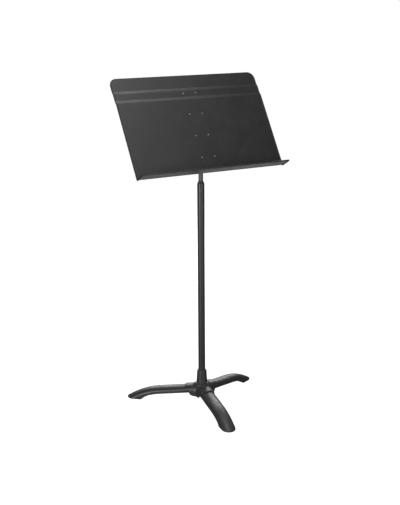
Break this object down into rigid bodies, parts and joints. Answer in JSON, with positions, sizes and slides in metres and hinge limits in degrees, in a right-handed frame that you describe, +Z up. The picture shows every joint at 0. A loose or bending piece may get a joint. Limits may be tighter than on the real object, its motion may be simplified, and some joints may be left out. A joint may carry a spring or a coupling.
{
  "type": "music stand",
  "caption": "Orchestra music stand: tilting sheet-metal desk with a ledge on a telescopic post, with an arched three-legged base.",
  "frame": {"origin": "on the post's axis, at floor level", "axes": "+Z up along the post; -Y towards the reader, whom the desk faces; +X to the reader's right"},
  "size_m": [0.508, 0.4128, 1.0567],
  "materials": {
    "desk_coat": "black textured powder coat over aluminium sheet",
    "channel_coat": "black textured powder coat over aluminium sheet",
    "rivet_coat": "aluminium rivets painted with the desk",
    "post_coat": "black powder coat, fine satin grain",
    "cap_coat": "black paint, satin",
    "shaft_coat": "black oxide and lacquer, smooth, with faint sliding marks",
    "base_coat": "black powder coat on cast and pressed steel, semi-gloss",
    "zinc_steel": "bright zinc plate",
    "plain_steel": "turned steel, oiled",
    "spring_steel": "blued spring steel",
    "nylon": "natural nylon, matt",
    "pad_rubber": "black moulded rubber, matt"
  },
  "bodies": {
    "base": {"outer_tube": "post_coat", "clutch_cap": "cap_coat", "clutch_collet": "nylon", "clutch_springs": "spring_steel", "clutch_seat": "plain_steel", "base_collar": "base_coat", "hub": "base_coat", "tube_plug": "plain_steel", "centre_bolt": "zinc_steel", "clamp_washer": "zinc_steel", "leg_front": "base_coat", "leg_right": "base_coat", "leg_left": "base_coat", "foot_front": "pad_rubber", "foot_right": "pad_rubber", "foot_left": "pad_rubber", "leg_screws": "zinc_steel"},
    "shaft_guide": {"guide_bush": "nylon"},
    "shaft": {"shaft": "shaft_coat", "shaft_plug": "plain_steel", "guide_washer": "zinc_steel", "guide_screw": "zinc_steel", "tilt_knuckle": "shaft_coat", "knuckle_pin": "plain_steel"},
    "desk": {"desk_panel": "desk_coat", "desk_channel": "channel_coat", "desk_rivets": "rivet_coat", "tilt_bolt": "zinc_steel", "tilt_nut": "zinc_steel", "flat_washers": "zinc_steel", "spring_washer": "spring_steel", "spacer_washers": "zinc_steel", "friction_discs": "nylon"}
  },
  "joints": [
    {"name": "height", "type": "slide", "parent": "base", "child": "shaft_guide", "axis": [0, 0, 1], "range_m": [-0.078, 0.46]},
    {"name": "swivel", "type": "hinge", "parent": "shaft_guide", "child": "shaft", "pos_m": [0, 0, 0.191], "axis": [0, 0, 1], "continuous": true},
    {"name": "tilt", "type": "hinge", "parent": "shaft", "child": "desk", "pos_m": [0, 0, 0.83623], "axis": [-1, 0, 0], "range_deg": [-32.8, 57.2]}
  ]
}
